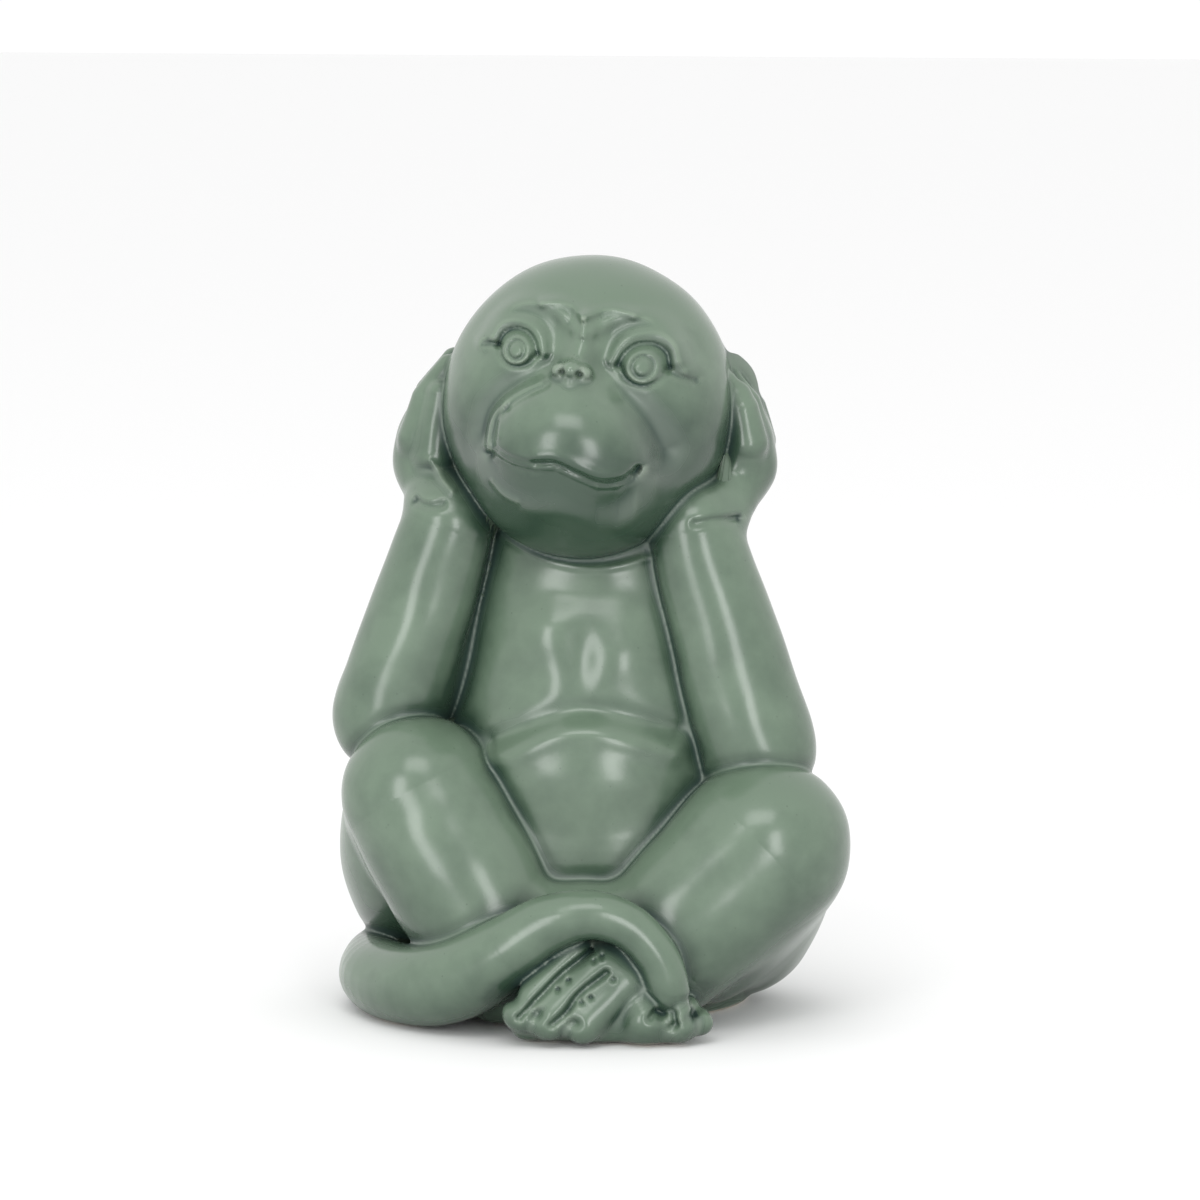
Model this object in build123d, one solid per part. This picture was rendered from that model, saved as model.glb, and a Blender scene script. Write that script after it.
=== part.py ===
from build123d import *
import os
from functools import cache
from math import cos, radians, sin, sqrt

# Seated monkey figurine with its hands over its ears, cast hollow in parts that are luted
# together with slip and glazed as one.
# Millimetres, +Z up. The face looks along -Y, and +X is on the viewer's right.
# Left and right are the monkey's own, so its right side lies towards -X.
# The origin is on the ground, below the middle of the figure.

# Whole figure
figure_height = 199.0
wall = 5.0                      # cast wall of the hollow parts
overrun = 6.0                   # how far a cutting body runs past what it cuts

# Head, a ball with a muzzle and a chin, that leans to the monkey's left
head_radius = 38.0
crown_lift = 1.2                # the ball's middle lies this far above the face's middle
head_above_torso = 57.0         # from the torso's top, which is inside the head, to the crown
head_forward = 6.0
head_lean_deg = 7.0
neck_bore_radius = 14.0
muzzle_radius = 22.6
muzzle_sink = 11.2              # middle of the muzzle's ball, inside the head's skin
muzzle_drop = 9.5
chin_radius = 17.0
chin_sink = 21.0                # middle of the chin's ball, inside the head's skin
chin_drop = 21.0

# Face, in the head's own axes
eye_spread = 16.5
eye_rise = 14.6
eye_ball_radius = 6.2
eye_ball_sink = 4.4
socket_radius = 12.0
socket_offset = 8.6
iris_ring_radius = 4.3
iris_ring_wire = 0.7
pupil_radius = 2.2
lid_radius = 6.6
lid_wire = 1.5
lid_end_deg = 20.0              # up from the eye's level at both corners
brow_radius = 11.0
brow_wire = 2.6
brow_outer_deg = 30.0           # up from the eye's level at the temple
brow_inner_deg = 185.0          # round to the side of the nose
nose_half_width = 5.2
nose_half_height = 3.4
nose_half_depth = 4.0
nose_rise = 10.6
nostril_radius = 1.3
nostril_spread = 3.1
nostril_depth_share = 0.6       # of the nose's half depth
bridge_radius = 3.4
bridge_tip_share = 0.8          # radius at the nose, of the radius at the brows
mouth_half_width = 19.0
mouth_drop = 13.8
mouth_corner_rise = 2.2
mouth_groove = 1.0
corner_pit_radius = 1.7

# Torso, a stack of ovals
torso_half_width = 43.0
torso_half_depth = 39.0
torso_back_shift = 8.0
belly_half_width = 27.0
belly_half_depth = 23.0
belly_half_height = 21.0
belly_forward = 14.0
belly_height_share = 0.465      # of the torso's height
vent_radius = 3.0

# Legs, sat with the knees up and the ankles crossed
right_hip_spread = 37.0
right_hip_back = 14.0
right_hip_radius = 20.5
left_hip_spread = 35.5
left_hip_back = 8.0
left_hip_radius = 23.4
hip_lift = 0.6                  # clear height of the hips over the ground
thigh_radius = 19.8
thigh_swell = 1.2
right_knee_spread = 41.0
right_knee_forward = 27.0
right_knee_height = 59.0
left_knee_spread = 49.5
left_knee_forward = 26.0
left_knee_height = 47.0
knee_radius = 20.6
knee_tuck = 3.0                 # the thigh's knee end lies this far behind the shin's
right_ankle_spread = 19.5
right_ankle_forward = 34.0
right_ankle_height = 22.5
left_ankle_spread = 22.5
left_ankle_forward = 33.5
left_ankle_height = 22.0
ankle_radius = 19.6
shin_swell = 1.4
calf_radius = 21.0              # fills the left leg out between its thigh and its shin

# Arms, folded, with the elbows on the knees
right_elbow_out = 10.0          # outside the right knee
right_elbow_rise = 18.0         # above the right knee
left_elbow_in = 4.5             # inside the left knee
left_elbow_rise = 24.0          # above the left knee
elbow_back = 12.0               # behind the knees
elbow_radius = 15.9
wrist_radius = 12.0
forearm_swell = 0.8
shoulder_spread = 23.0
shoulder_back = 9.0
shoulder_height_share = 0.79    # of the torso's height
shoulder_radius = 17.5
upper_elbow_radius = 14.4
elbow_fold = 5.0                # the upper arm's end lies this far behind the forearm's
wrist_tuck = 6.0                # wrist nearer the middle than the side of the head
wrist_forward = 8.0             # in front of the head's middle
wrist_drop = 30.8               # below the head's middle

# Hands, cupped over the ears
palm_half_thickness = 10.0
palm_half_width = 15.5
palm_half_height = 14.0
palm_stand_off = 1.5            # middle of the palm, outside the side of the head
palm_forward = 2.0              # in front of the head's middle
palm_drop = 14.6                # below the head's middle
finger_count = 4
finger_pitch = 6.4
finger_row_share = 0.4          # of the row of fingers, in front of the palm's middle
finger_out = 3.4                # root of the front finger, outside the palm's middle
finger_fan = 0.5                # each finger further out than the one in front of it
finger_rise = 3.0               # roots above the palm's middle
finger_root_radius = 5.0
finger_tip_radius = 3.3
finger_length = 21.0
finger_step_share = 0.06        # of its length that a finger loses for each place from the longest
finger_way_shares = (0.30, 0.10, 0.95)    # inwards, back and up
thumb_in = 0.5                  # root nearer the head than the palm's middle
thumb_forward = 9.0
thumb_drop = 2.0
thumb_root_radius = 6.2
thumb_tip_radius = 3.6
thumb_length = 19.0
thumb_way_shares = (0.00, -0.06, 1.00)    # inwards, back and up

# Ears
ear_radius = 12.5
ear_rim = 2.8                   # radius of the rolled rim
ear_web = 2.4                   # thickness of the ear inside its rim
ear_rise = 3.0                  # above the head's middle
ear_forward = 1.0               # in front of the head's middle
ear_turn_deg = 19.0             # from straight out towards the front

# Feet, flat on the ground under the tail
heel_radius = 11.0
ball_radius = 9.5
left_ball_side = 12.0
left_ball_forward = 50.0
left_ball_height = 17.5
right_ball_side = 20.0
right_ball_forward = 48.0
right_ball_height = 9.6
toe_reach = 20.0                # from the ball of a foot to the tips of its long toes
toe_radius = 5.6
nail_radius = 1.9
nail_turn_deg = 39.0            # up from straight ahead, round a toe's tip

# Tail, round the right side and over the ankles
tail_radius = 9.6
tail_side = 56.0
tail_front = 56.0
tail_arch_height = 33.8
tail_dome_degs = (35.0, 65.0)   # where the tail's rounded end takes its two last rings

# Base disc that closes the cast from below
base_thickness = 4.0
pour_hole_radius = 6.0
pour_hole_back = 15.0


def at(side, out, forward, up):
    """A place given as distances out, forward and up, on one side of the figure."""
    return Vector(side * out, -forward, up)


RIGHT, LEFT = -1, 1
torso_height = figure_height - head_above_torso
belly_height = belly_height_share * torso_height
shoulder_height = shoulder_height_share * torso_height
head_half_height = head_radius + crown_lift
muzzle_forward = head_radius - muzzle_sink
chin_forward = head_radius - chin_sink
head_middle = Vector(0, -head_forward, figure_height - head_half_height)
HIPS = {
    RIGHT: at(RIGHT, right_hip_spread, -right_hip_back, right_hip_radius + hip_lift),
    LEFT: at(LEFT, left_hip_spread, -left_hip_back, left_hip_radius + hip_lift),
}
HIP_RADII = {RIGHT: right_hip_radius, LEFT: left_hip_radius}
KNEES = {
    RIGHT: at(RIGHT, right_knee_spread, right_knee_forward, right_knee_height),
    LEFT: at(LEFT, left_knee_spread, left_knee_forward, left_knee_height),
}
ANKLES = {
    RIGHT: at(RIGHT, right_ankle_spread, right_ankle_forward, right_ankle_height),
    LEFT: at(LEFT, left_ankle_spread, left_ankle_forward, left_ankle_height),
}
ELBOWS = {
    RIGHT: KNEES[RIGHT] + at(RIGHT, right_elbow_out, -elbow_back, right_elbow_rise),
    LEFT: KNEES[LEFT] + at(LEFT, -left_elbow_in, -elbow_back, left_elbow_rise),
}
BALLS = {
    RIGHT: Vector(right_ball_side, -right_ball_forward, right_ball_height),
    LEFT: Vector(left_ball_side, -left_ball_forward, left_ball_height),
}


def egg(middle, half_width, half_depth, half_height):
    """A ball with three half sizes of its own."""
    return Pos(middle) * scale(Sphere(1), (half_width, half_depth, half_height))


def along(start, end):
    """A plane at start whose Z axis points to end."""
    return Plane(origin=start, z_dir=(end - start).normalized())


def limb(start, start_radius, end, end_radius, swell=0.0):
    """A round, tapered limb with a ball at each end and a slightly swollen side."""
    length = (end - start).length
    middle_radius = (start_radius + end_radius) / 2 + swell
    side = Line((start_radius, 0), (end_radius, length))
    if swell:
        side = ThreePointArc((start_radius, 0), (middle_radius, length / 2), (end_radius, length))
    outline = [
        Line((0, -start_radius), (0, length + end_radius)),
        CenterArc((0, 0), start_radius, -90, 90),
        side,
        CenterArc((0, length), end_radius, 0, 90),
    ]
    profile = Plane.XZ * make_face(Wire(outline))
    return along(start, end).location * revolve(profile, Axis.Z)


def oval_section(middle, half_width, half_depth):
    """An oval whose outline starts at the back, away from the holes that are bored later."""
    return Plane(origin=middle, x_dir=(0, 1, 0)) * Ellipse(half_depth, half_width)


def ring_section(place, direction, side_way, radius):
    return Plane(origin=place, x_dir=side_way, z_dir=direction) * Circle(radius)


def round_tube(places, radii, dome_degs):
    """A tube through places with its own radius at each, closed by a dome at the far end."""
    sections = []
    side_way = Vector(0, 0, 1)
    for index, (place, radius) in enumerate(zip(places, radii)):
        before = places[max(index - 1, 0)]
        after = places[min(index + 1, len(places) - 1)]
        direction = (after - before).normalized()
        side_way = (side_way - direction * side_way.dot(direction)).normalized()
        sections.append(ring_section(place, direction, side_way, radius))
    for angle in dome_degs:
        turn = radians(angle)
        place = places[-1] + direction * (radii[-1] * sin(turn))
        sections.append(ring_section(place, direction, side_way, radii[-1] * cos(turn)))
    tip = places[-1] + direction * radii[-1]
    sections.append(Vertex(tip.X, tip.Y, tip.Z))
    return loft(sections)


def ground_cut(body):
    """Takes away what lies below the ground."""
    size = 2 * (figure_height + overrun)
    block = Pos(0, 0, -size / 2) * Box(size, size, size)
    return body - block


def one_solid(body):
    """The largest solid of a cut body."""
    return max(body.solids(), key=lambda solid: solid.volume)


# Head
def lean(body):
    """Turns a body made about the head's middle to the head's lean, and moves it there."""
    return Pos(head_middle) * Rot(0, head_lean_deg, 0) * body


def beside_head(side, spread, forward, drop):
    """A place beside the head, from the head's middle, that follows the head's lean."""
    shift = drop * sin(radians(head_lean_deg))
    return head_middle + at(side, spread, forward, -drop) - Vector(shift, 0, 0)


def head_front(across, rise):
    """How far forward the bare head lies at a place of the face."""
    rest = head_radius**2 - across**2 - (rise - crown_lift) ** 2
    return sqrt(max(rest, 0))


def muzzle_front(across, rise):
    """How far forward the muzzle lies at a place of the face."""
    rest = muzzle_radius**2 - across**2 - (rise + muzzle_drop) ** 2
    return muzzle_forward + sqrt(max(rest, 0))


def skull(inset=0.0):
    """Head, muzzle and chin without the face, made smaller all round by the inset."""
    head = Pos(0, 0, crown_lift) * Rot(0, 0, -90) * Sphere(head_radius - inset)
    muzzle = Pos(0, -muzzle_forward, -muzzle_drop) * Rot(0, 90, 0) * Sphere(muzzle_radius - inset)
    chin = Pos(0, -chin_forward, -chin_drop) * Sphere(chin_radius - inset)
    return head + muzzle + chin


def eye_plane(side):
    """A plane on the head's skin at an eye, facing out."""
    skin = Vector(side * eye_spread, -head_front(eye_spread, eye_rise), eye_rise)
    out = (skin - Vector(0, 0, crown_lift)).normalized()
    return Plane(origin=skin, x_dir=Vector(0, 0, 1).cross(out), z_dir=out)


def socket_cutter(side):
    return eye_plane(side).location * Pos(0, 0, socket_offset) * Sphere(socket_radius)


def arc_bead(plane, radius, wire, start, end):
    """A round bead along an arc in a plane, with rounded ends."""
    first = Vector(radius * cos(radians(start)), radius * sin(radians(start)), 0)
    last = Vector(radius * cos(radians(end)), radius * sin(radians(end)), 0)
    path = CenterArc((0, 0), radius, start, end - start)
    bead = sweep(Plane(origin=path @ 0, z_dir=path % 0) * Circle(wire), path)
    return plane.location * (bead + Pos(first) * Sphere(wire) + Pos(last) * Sphere(wire))


def eye(side):
    """Eyeball with its iris ring, pupil and upper lid."""
    plane = eye_plane(side)
    ball = Pos(0, 0, -eye_ball_sink) * Sphere(eye_ball_radius)
    front = eye_ball_radius - eye_ball_sink
    ring = Pos(0, 0, front - iris_ring_wire) * Torus(iris_ring_radius, iris_ring_wire)
    pupil = Pos(0, 0, front - pupil_radius / 2) * Sphere(pupil_radius)
    lid = arc_bead(plane, lid_radius, lid_wire, lid_end_deg, 180 - lid_end_deg)
    return plane.location * (ball + ring + pupil) + lid


def brow(side):
    """Ridge that arches over an eye and runs down to the root of the nose."""
    start, end = brow_outer_deg, brow_inner_deg
    if side == RIGHT:
        start, end = 180 - brow_inner_deg, 180 - brow_outer_deg
    return arc_bead(eye_plane(side), brow_radius, brow_wire, start, end)


def nose():
    """Nose with two nostrils, and its bridge up to the brows."""
    tip = Vector(0, -head_front(0, nose_rise) - nose_half_depth / 2, nose_rise)
    bulb = egg(tip, nose_half_width, nose_half_depth, nose_half_height)
    root_rise = eye_rise + lid_radius
    root = Vector(0, -head_front(0, root_rise) + bridge_radius / 2, root_rise)
    bridge = limb(root, bridge_radius, tip, bridge_radius * bridge_tip_share)
    shape = bulb + bridge
    for side in (RIGHT, LEFT):
        depth = nose_half_depth * nostril_depth_share
        place = tip + at(side, nostril_spread, depth, -nose_half_height / 2)
        shape -= Pos(place) * Sphere(nostril_radius)
    return shape


def mouth_cutter():
    """Smile groove on the muzzle, with a pit at each corner."""
    corner_level = mouth_corner_rise - mouth_drop
    corners = []
    for side in (RIGHT, LEFT):
        out = side * mouth_half_width
        corners.append(Vector(out, -muzzle_front(out, corner_level), corner_level))
    low = Vector(0, -muzzle_front(0, -mouth_drop), -mouth_drop)
    path = ThreePointArc(corners[0], low, corners[1])
    groove = sweep(Plane(origin=path @ 0, z_dir=path % 0) * Circle(mouth_groove), path)
    for corner in corners:
        groove += Pos(corner) * Sphere(corner_pit_radius)
    return groove


@cache
def head_outside():
    return lean(skull())


def make_head():
    """Hollow head with its face, open at the neck."""
    shape = skull()
    for side in (RIGHT, LEFT):
        shape -= socket_cutter(side)
    for side in (RIGHT, LEFT):
        shape += eye(side)
        shape += brow(side)
    shape += nose()
    shape -= mouth_cutter()
    head = lean(shape - skull(wall))
    bore_length = head_half_height + overrun
    bore = Pos(head_middle.X, 0, head_middle.Z - bore_length / 2)
    return one_solid(head - bore * Cylinder(neck_bore_radius, bore_length))


# Torso
torso_shares = [
    # height, half width, half depth, shift to the back
    (0.00, 0.95, 0.97, 1.00),
    (0.10, 1.02, 1.04, 0.85),
    (0.26, 1.03, 1.06, 0.55),
    (0.44, 0.98, 1.00, 0.45),
    (0.60, 0.90, 0.92, 0.60),
    (0.74, 0.84, 0.85, 0.80),
    (0.85, 0.78, 0.73, 0.80),
    (0.93, 0.66, 0.62, 0.60),
    (0.98, 0.42, 0.38, 0.40),
]


def torso_stack(inset=0.0):
    """Torso as a loft through its ovals, made smaller all round by the inset."""
    sections = []
    for height, width, depth, shift in torso_shares:
        middle = Vector(0, shift * torso_back_shift, height * torso_height)
        half_width = width * torso_half_width - inset
        half_depth = depth * torso_half_depth - inset
        sections.append(oval_section(middle, half_width, half_depth))
    return loft(sections)


def belly(inset=0.0):
    return egg(
        Vector(0, -belly_forward, belly_height),
        belly_half_width - inset,
        belly_half_depth - inset,
        belly_half_height - inset,
    )


@cache
def torso_outside():
    return torso_stack() + belly() - head_outside()


def leg_vent(side):
    """Drain hole through the torso's wall into the hollow thigh."""
    bore = Cylinder(vent_radius, 2 * abs(HIPS[side].X), rotation=(0, 90, 0))
    return Pos(HIPS[side]) * bore


def make_torso():
    shape = torso_outside() - torso_stack(wall) - belly(wall)
    for side in (RIGHT, LEFT):
        shape -= leg_vent(side)
    return one_solid(ground_cut(shape))


def make_base():
    """Disc inside the torso's foot rim, with the hole the slip was poured through."""
    disc = torso_stack(wall) & Pos(0, 0, base_thickness / 2) * Box(
        2 * figure_height, 2 * figure_height, base_thickness
    )
    hole = Pos(0, pour_hole_back, 0) * Cylinder(pour_hole_radius, 2 * (base_thickness + overrun))
    return one_solid(disc - hole)


# Legs
def thigh(side, inset=0.0):
    back = (HIPS[side] - KNEES[side]).normalized()
    knee_end = KNEES[side] + back * knee_tuck
    hip_radius = HIP_RADII[side] - inset
    return limb(HIPS[side], hip_radius, knee_end, thigh_radius - inset, thigh_swell)


def shin(side, inset=0.0):
    return limb(
        KNEES[side], knee_radius - inset, ANKLES[side], ankle_radius - inset, shin_swell
    )


def calf(inset=0.0):
    """Muscle of the left leg, between its thigh and its shin."""
    middle = (HIPS[LEFT] + ANKLES[LEFT]) / 2
    back = (middle - KNEES[LEFT]).normalized()
    knee_end = KNEES[LEFT] + back * knee_tuck
    return limb(knee_end, thigh_radius - inset, middle, calf_radius - inset)


@cache
def leg_outside(side, inset=0.0):
    leg = thigh(side, inset) + shin(side, inset)
    return leg + calf(inset) if side == LEFT else leg


def make_leg(side):
    """Hollow thigh and shin, cut where they meet the torso."""
    shape = ground_cut(leg_outside(side)) - torso_outside()
    if side == LEFT:
        shape -= leg_outside(RIGHT)
    room = leg_outside(side, wall)
    floor = Pos(0, 0, wall / 2) * Box(2 * figure_height, 2 * figure_height, wall)
    return one_solid(shape - (room - floor))


# Arms
def wrist(side):
    return beside_head(side, head_radius - wrist_tuck, wrist_forward, wrist_drop)


@cache
def arm_outside(side):
    elbow = ELBOWS[side]
    forearm = limb(elbow, elbow_radius, wrist(side), wrist_radius, forearm_swell)
    shoulder = at(side, shoulder_spread, -shoulder_back, shoulder_height)
    fold = (shoulder - elbow).normalized() * elbow_fold
    return forearm + limb(elbow + fold, upper_elbow_radius, shoulder, shoulder_radius)


def make_arm(side):
    shape = arm_outside(side) - torso_outside() - head_outside()
    return one_solid(shape - leg_outside(side))


# Hands and ears
def finger(side, root, way_shares, length, root_radius, tip_radius):
    """A finger or thumb whose way is given as shares inwards, back and up."""
    inwards, back, up = way_shares
    way = Vector(-side * inwards, back, up).normalized()
    return limb(root, root_radius, root + way * length, tip_radius)


@cache
def hand_outside(side):
    """Palm, fingers that reach up the side of the head, and a thumb in front."""
    middle = beside_head(side, head_radius + palm_stand_off, palm_forward, palm_drop)
    shape = egg(middle, palm_half_thickness, palm_half_width, palm_half_height)
    for index in range(finger_count):
        back = (index - finger_row_share * (finger_count - 1)) * finger_pitch
        root = middle + at(side, finger_out + index * finger_fan, -back, finger_rise)
        length = finger_length * (1 - finger_step_share * abs(index - 1))
        radii = finger_root_radius, finger_tip_radius
        shape += finger(side, root, finger_way_shares, length, *radii)
    root = middle + at(side, -thumb_in, thumb_forward, -thumb_drop)
    radii = thumb_root_radius, thumb_tip_radius
    return shape + finger(side, root, thumb_way_shares, thumb_length, *radii)


def make_hand(side):
    shape = hand_outside(side) - head_outside() - arm_outside(side)
    return one_solid(shape)


def make_ear(side):
    """Round ear with a rolled rim round a dished middle, behind the hand."""
    out = beside_head(side, head_radius, ear_forward, -ear_rise)
    facing = at(side, cos(radians(ear_turn_deg)), sin(radians(ear_turn_deg)), 0)
    plane = Plane(origin=out, x_dir=Vector(0, 0, 1).cross(facing), z_dir=facing)
    ring_radius = ear_radius - ear_rim
    rim = Torus(ring_radius, ear_rim)
    web = Pos(0, 0, -ear_web / 2) * Cylinder(ring_radius, ear_web)
    shape = plane.location * (rim + web)
    return one_solid(shape - head_outside() - hand_outside(side))


# Feet
left_toe_shares = [
    # root and tip, each to the viewer's right, forward and up from the ball, then the radii
    ((-0.45, 0.18, 0.22), (-1.08, 0.58, -0.44), 1.00, 0.93),
    ((-0.10, 0.25, 0.08), (-0.72, 0.62, -0.54), 1.00, 0.96),
    ((0.20, 0.22, -0.10), (-0.28, 0.60, -0.58), 1.07, 1.00),
]
right_toe_shares = [
    ((-0.12, 0.25, 0.07), (0.10, 0.58, -0.13), 1.36, 1.18),
    ((0.28, 0.15, 0.12), (0.55, 0.42, -0.15), 0.93, 0.82),
    ((0.58, 0.00, -0.08), (0.78, 0.20, -0.21), 0.68, 0.57),
]


def toes(ball, shares):
    """Toes from the ball of a foot to the ground, with a nail pit near each tip."""
    nail_way = Vector(0, -cos(radians(nail_turn_deg)), sin(radians(nail_turn_deg)))
    shape = Part()
    pits = Part()
    for root_shares, tip_shares, root_share, tip_share in shares:
        root = ball + Vector(root_shares[0], -root_shares[1], root_shares[2]) * toe_reach
        tip = ball + Vector(tip_shares[0], -tip_shares[1], tip_shares[2]) * toe_reach
        tip_radius = toe_radius * tip_share
        shape += limb(root, toe_radius * root_share, tip, tip_radius)
        pits += Pos(tip + nail_way * tip_radius) * Sphere(nail_radius)
    return shape - pits


@cache
def foot_outside(side):
    """Heel inside the lower end of the shin, ball and toes."""
    ankle = ANKLES[side]
    heel = Vector(ankle.X, ankle.Y, heel_radius)
    body = limb(heel, heel_radius, BALLS[side], ball_radius)
    return body + toes(BALLS[side], right_toe_shares if side == RIGHT else left_toe_shares)


# Tail
tail_shares = [
    # side, to the front, height of the middle, radius
    (0.00, -0.74, 0.29, 1.04),
    (-0.42, -0.68, 0.29, 1.03),
    (-0.80, -0.42, 0.28, 1.01),
    (-1.00, -0.05, 0.28, 1.00),
    (-0.97, 0.36, 0.28, 1.02),
    (-0.76, 0.68, 0.31, 1.10),
    (-0.50, 0.87, 0.44, 1.12),
    (-0.27, 0.97, 0.67, 0.96),
    (-0.06, 1.01, 0.91, 0.76),
    (0.14, 1.02, 1.00, 0.64),
    (0.32, 1.00, 0.89, 0.59),
    (0.44, 0.98, 0.66, 0.58),
    (0.49, 0.97, 0.40, 0.58),
]


@cache
def tail_outside():
    places = []
    radii = []
    for side, front, height, radius in tail_shares:
        places.append(Vector(side * tail_side, -front * tail_front, height * tail_arch_height))
        radii.append(radius * tail_radius)
    return round_tube(places, radii, tail_dome_degs)


def make_tail():
    shape = ground_cut(tail_outside()) - torso_outside()
    return one_solid(shape - leg_outside(RIGHT) - leg_outside(LEFT))


def make_foot(side):
    """A foot, cut by the legs and by the tail over it. The left one lies in front."""
    shape = ground_cut(foot_outside(side)) - tail_outside()
    shape -= leg_outside(RIGHT) + leg_outside(LEFT)
    if side == RIGHT:
        shape -= foot_outside(LEFT)
    return one_solid(shape - torso_outside())


def make_all():
    return {
        "head": make_head(),
        "torso": make_torso(),
        "base_disc": make_base(),
        "right_leg": make_leg(RIGHT),
        "left_leg": make_leg(LEFT),
        "right_arm": make_arm(RIGHT),
        "left_arm": make_arm(LEFT),
        "right_hand": make_hand(RIGHT),
        "left_hand": make_hand(LEFT),
        "right_ear": make_ear(RIGHT),
        "left_ear": make_ear(LEFT),
        "right_foot": make_foot(RIGHT),
        "left_foot": make_foot(LEFT),
        "tail": make_tail(),
    }


os.makedirs("parts", exist_ok=True)
for name, body in make_all().items():
    export_step(body, f"parts/{name}.step")
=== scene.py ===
# %% [markdown]
# # A seated monkey in celadon glaze
# The object is a small stoneware ornament: a monkey that sits with its hands over its ears.
# It was cast in plaster moulds, luted together with liquid clay and covered with one coat of
# clear green glaze. The glaze is thick where it runs into a crease and thin where it is pulled
# off a ridge, and that difference is what makes the carving readable.
# The CAD pieces give the frame that everything here is fitted to.

# %% Load the frame
import math
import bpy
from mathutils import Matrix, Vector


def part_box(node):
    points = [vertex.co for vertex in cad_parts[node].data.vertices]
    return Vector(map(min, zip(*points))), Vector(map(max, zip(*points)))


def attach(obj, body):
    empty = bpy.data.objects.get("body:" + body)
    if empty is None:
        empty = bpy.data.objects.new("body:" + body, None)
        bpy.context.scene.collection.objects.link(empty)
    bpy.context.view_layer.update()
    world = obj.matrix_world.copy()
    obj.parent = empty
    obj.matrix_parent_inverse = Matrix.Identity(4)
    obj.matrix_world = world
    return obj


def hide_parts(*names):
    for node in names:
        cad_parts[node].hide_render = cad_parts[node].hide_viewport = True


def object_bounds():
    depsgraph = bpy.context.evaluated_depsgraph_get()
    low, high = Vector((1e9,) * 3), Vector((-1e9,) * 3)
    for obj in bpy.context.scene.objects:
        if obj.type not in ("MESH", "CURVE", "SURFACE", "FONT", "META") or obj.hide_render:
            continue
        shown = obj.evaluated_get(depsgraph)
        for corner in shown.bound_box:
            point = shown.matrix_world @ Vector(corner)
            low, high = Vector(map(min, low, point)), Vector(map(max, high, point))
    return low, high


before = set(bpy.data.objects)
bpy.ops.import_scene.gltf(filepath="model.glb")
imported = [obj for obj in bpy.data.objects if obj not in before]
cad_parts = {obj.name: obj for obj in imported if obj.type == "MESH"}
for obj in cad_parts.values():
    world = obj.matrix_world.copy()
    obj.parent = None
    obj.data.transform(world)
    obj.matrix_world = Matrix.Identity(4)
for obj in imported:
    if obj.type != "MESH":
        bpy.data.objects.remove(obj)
from concurrent.futures import ThreadPoolExecutor

import bpy
import numpy as np
from mathutils import Vector

cad_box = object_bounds()
MM = 0.001
print("CAD box in mm:", [[round(v / MM, 1) for v in corner] for corner in cad_box])

# %% [markdown]
# ## Camera
# The photograph is taken from a little above and a little to the viewer's right, with a long
# lens. A short lens close by would frame the figure as well, but then the knees, which lie
# nearer, would look larger than the head. So the camera stands far off with a long lens.

# %% Camera
AZIMUTH = math.radians(8.0)
ELEVATION = math.radians(7.5)
DISTANCE = 1.6
AIM = Vector((0.002, 0.0, 0.1075))
LENS = 181.9
SENSOR_WIDTH = 36.0
NEAR_CLIP = 0.05


def make_camera():
    """Camera at the photograph's angle, aimed at the middle of the frame."""
    away = Vector((math.sin(AZIMUTH) * math.cos(ELEVATION),
                   -math.cos(AZIMUTH) * math.cos(ELEVATION),
                   math.sin(ELEVATION)))
    data = bpy.data.cameras.new("camera")
    data.lens = LENS
    data.sensor_width = SENSOR_WIDTH
    data.clip_start = NEAR_CLIP
    camera = bpy.data.objects.new("camera", data)
    camera.location = AIM + away * DISTANCE
    camera.rotation_euler = (-away).to_track_quat("-Z", "Y").to_euler()
    bpy.context.scene.collection.objects.link(camera)
    bpy.context.scene.camera = camera
    return camera


print("camera at", [round(v, 3) for v in make_camera().location])

# %% [markdown]
# ## Clay as a distance field
# A glazed casting has no hard edges: every seam is filled with slip and glaze. It could be
# sculpted from joined meshes, but their seams would need fillets one by one. So it is described
# here as a distance field: a function that says how far a place lies from the clay. Fields
# blend into each other with a smooth minimum, which draws a fillet of any width along the seam,
# and a groove or a ridge is a small number taken from the field along a line. Lengths in this
# part are in millimetres.

# %% Blends and simple bodies
def smooth_min(a, b, reach):
    """The nearer of two fields, with a fillet as wide as the reach."""
    overlap = np.maximum(reach - np.abs(a - b), 0.0) / reach
    return np.minimum(a, b) - overlap * overlap * reach * 0.25


def smooth_max(a, b, reach):
    """The farther of two fields, with its edge rounded over the reach."""
    return -smooth_min(-a, -b, reach)


def egg(P, middle, half_sizes):
    """Ball with three half sizes."""
    offset = P - np.asarray(middle, np.float32)
    sizes = np.asarray(half_sizes, np.float32)
    near = np.sqrt(np.einsum("ij,ij->i", offset / sizes, offset / sizes)) + 1e-6
    slope = np.sqrt(np.einsum("ij,ij->i", offset / sizes**2, offset / sizes**2)) + 1e-6
    return near * (near - 1.0) / slope


def limb(P, start, start_radius, end, end_radius, swell=0.0):
    """Round, tapered limb from start to end."""
    start = np.asarray(start, np.float32)
    way = np.asarray(end, np.float32) - start
    offset = P - start
    share = np.clip(offset @ way / (way @ way), 0.0, 1.0)
    offset = offset - share[:, None] * way
    radius = start_radius + (end_radius - start_radius) * share
    radius = radius + 4.0 * swell * share * (1.0 - share)
    return np.sqrt(np.einsum("ij,ij->i", offset, offset)) - radius


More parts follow.
